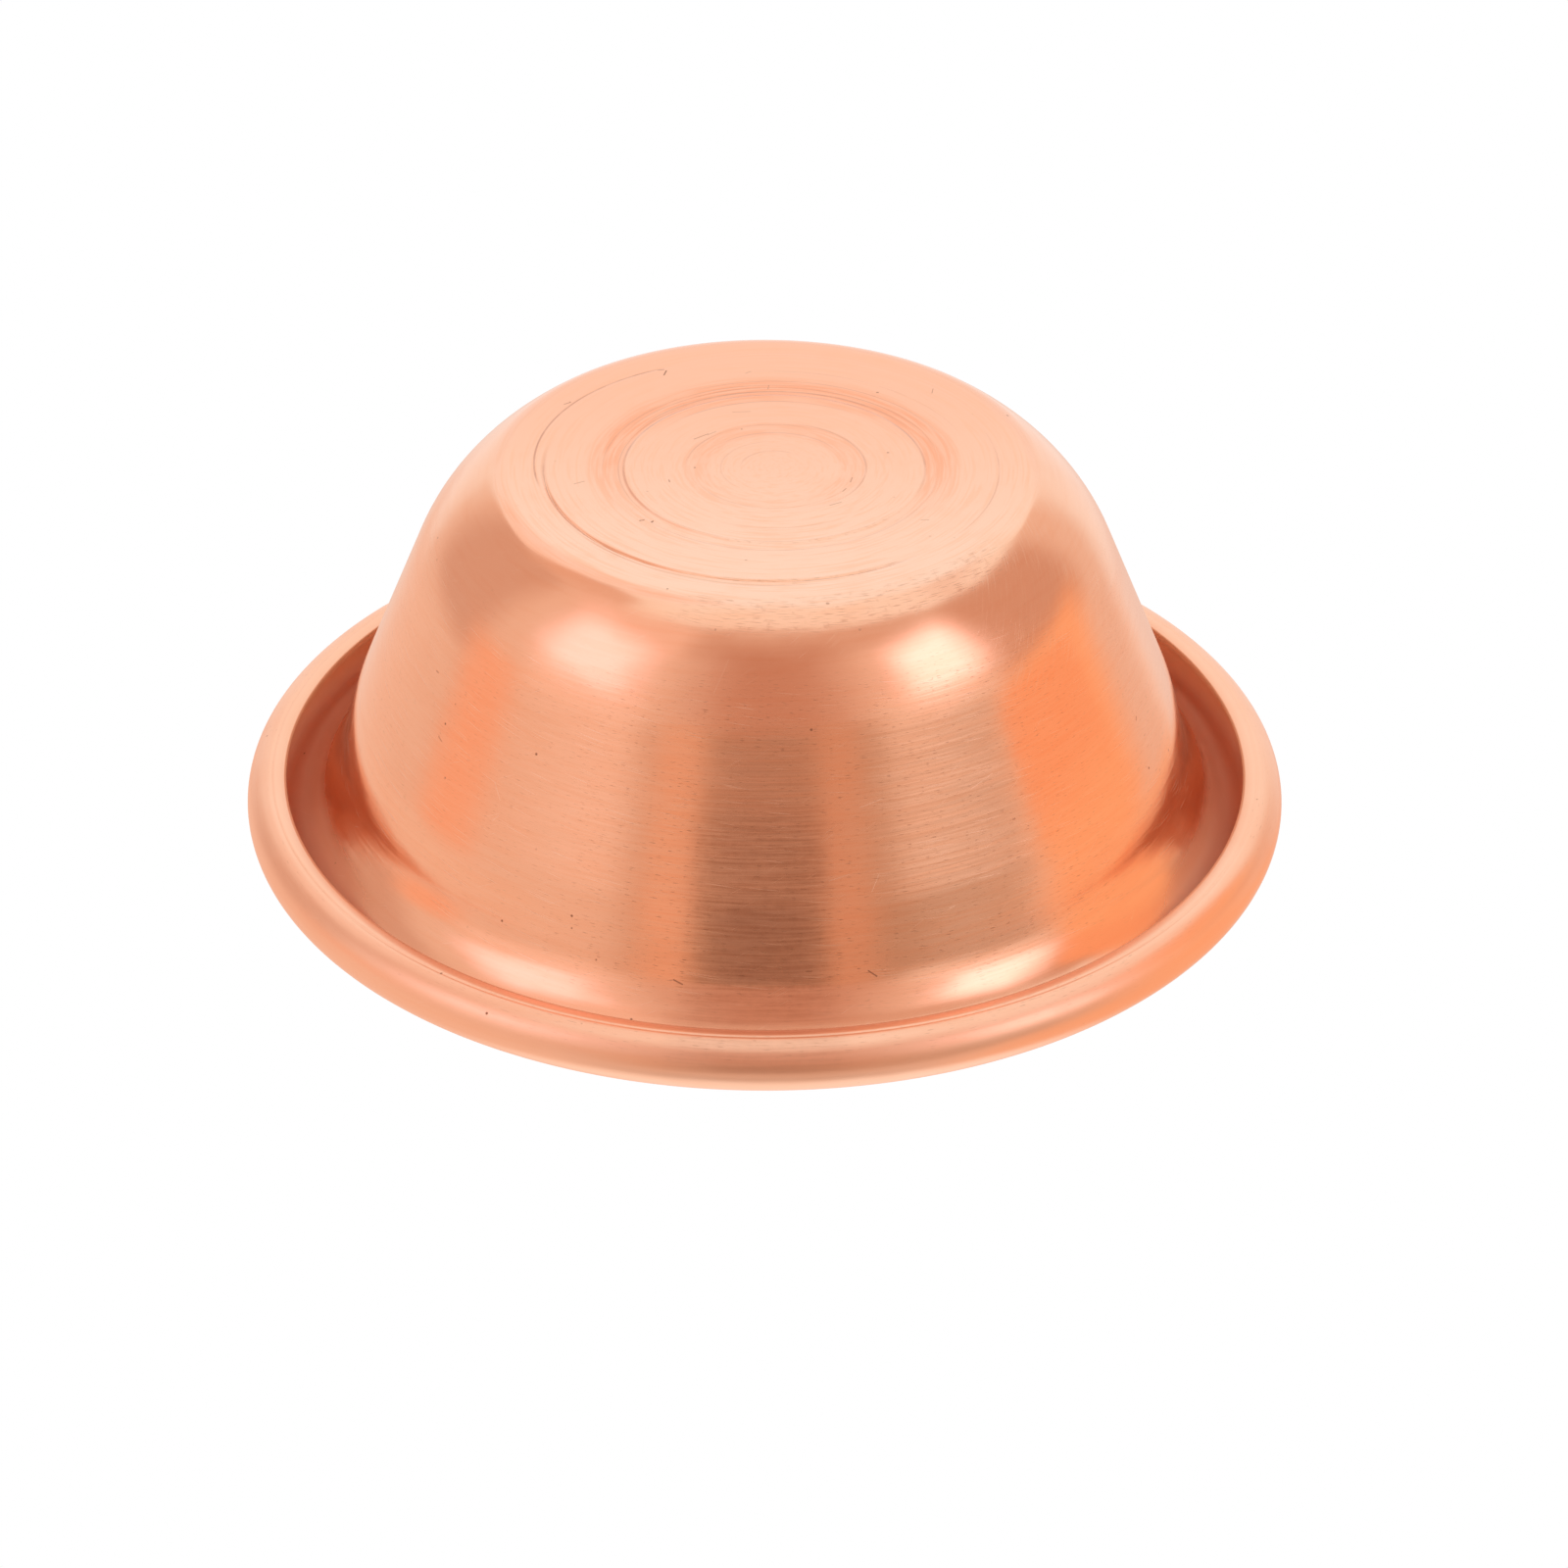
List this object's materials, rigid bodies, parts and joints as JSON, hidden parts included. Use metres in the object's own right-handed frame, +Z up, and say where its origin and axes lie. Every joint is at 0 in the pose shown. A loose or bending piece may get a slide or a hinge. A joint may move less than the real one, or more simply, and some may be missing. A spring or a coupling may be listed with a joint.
{
  "type": "offering bowl",
  "caption": "Small round copper offering bowl spun from one sheet, with a flat base, sloping wall, flared neck and a rim that curls under.",
  "frame": {"origin": "middle of the base's underside", "axes": "+Z up, out of the mouth, along the bowl's axis of revolution"},
  "size_m": [0.05, 0.05, 0.0192],
  "materials": {
    "copper": "satin, with fine turning lines"
  },
  "bodies": {
    "root": {"bowl": "copper"}
  },
  "joints": []
}
